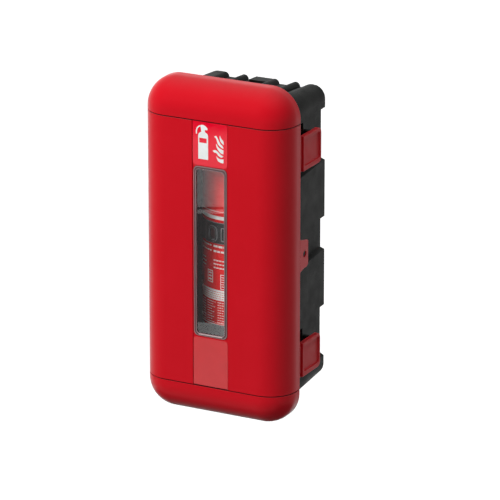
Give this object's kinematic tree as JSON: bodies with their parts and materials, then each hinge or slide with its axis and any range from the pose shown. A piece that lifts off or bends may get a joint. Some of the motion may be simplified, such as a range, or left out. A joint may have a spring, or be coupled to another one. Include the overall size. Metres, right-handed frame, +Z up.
{
  "type": "fire extinguisher cabinet",
  "caption": "Wall-hung moulded cabinet with a rounded hinged door, a tall clear window, side latches and a fire extinguisher standing inside.",
  "frame": {"origin": "centre of the flat back face that lies on the wall", "axes": "+Y into the wall, door towards -Y, +Z up, +X to the right of somebody facing the door"},
  "size_m": [0.335, 0.24, 0.715],
  "materials": {
    "door_red": "satin gloss moulded plastic",
    "latch_red": "satin moulded plastic",
    "case_black": "matt moulded plastic",
    "shelf_black": "matt moulded plastic",
    "strap_black": "matt webbing and plastic",
    "buckle_black": "satin plastic",
    "window_clear": "clear plastic sheet",
    "window_border": "clear plastic border",
    "retainer_black": "matt moulded plastic",
    "sign_red": "printed sign",
    "label_red": "satin plate",
    "bottle_red": "gloss enamel",
    "base_black": "moulded foot ring",
    "valve_metal": "turned and plated",
    "handle_black": "black enamel on steel strip",
    "pin_steel": "drawn bar",
    "gauge_metal": "plated case",
    "hose_rubber": "matt rubber",
    "nozzle_black": "moulded plastic"
  },
  "bodies": {
    "case": {"back_case": "case_black", "bottle_shelf": "shelf_black", "bottle_cradle": "shelf_black", "strap_band": "strap_black", "strap_buckle": "buckle_black", "hinge_strap_upper": "latch_red", "hinge_strap_lower": "latch_red", "hinge_pin_upper": "pin_steel", "hinge_pin_lower": "pin_steel", "catch_upper": "case_black", "catch_lower": "case_black", "extinguisher_cylinder": "bottle_red", "extinguisher_base": "base_black", "neck_collar": "valve_metal", "valve_body": "valve_metal", "carry_handle": "handle_black", "squeeze_lever": "handle_black", "safety_pin": "pin_steel", "pressure_gauge": "gauge_metal", "discharge_hose": "hose_rubber", "hose_nozzle": "nozzle_black", "hose_clip": "strap_black"},
    "door": {"door_center_panel": "door_red", "door_top_cap": "door_red", "door_bottom_cap": "door_red", "window_pane": "window_clear", "window_frame": "window_border", "window_retainer": "retainer_black", "sign_plate": "sign_red", "label_plate": "label_red", "seal_tab": "latch_red", "hinge_lugs_upper": "door_red", "hinge_lugs_lower": "door_red", "latch_lugs_upper": "door_red", "latch_lugs_lower": "door_red", "latch_pin_upper": "pin_steel", "latch_pin_lower": "pin_steel"},
    "latch_upper": {"latch_upper": "latch_red"},
    "latch_lower": {"latch_lower": "latch_red"}
  },
  "joints": [
    {"name": "door_hinge", "type": "hinge", "parent": "case", "child": "door", "pos_m": [-0.1615, -0.156, 0], "axis": [0, 0, -1], "range_deg": [0, 105]},
    {"name": "latch_upper_pivot", "type": "hinge", "parent": "door", "child": "latch_upper", "pos_m": [0.16, -0.1555, 0.2175], "axis": [0, 0, -1], "range_deg": [0, 60]},
    {"name": "latch_lower_pivot", "type": "hinge", "parent": "door", "child": "latch_lower", "pos_m": [0.16, -0.1555, -0.226], "axis": [0, 0, -1], "range_deg": [0, 60]}
  ]
}
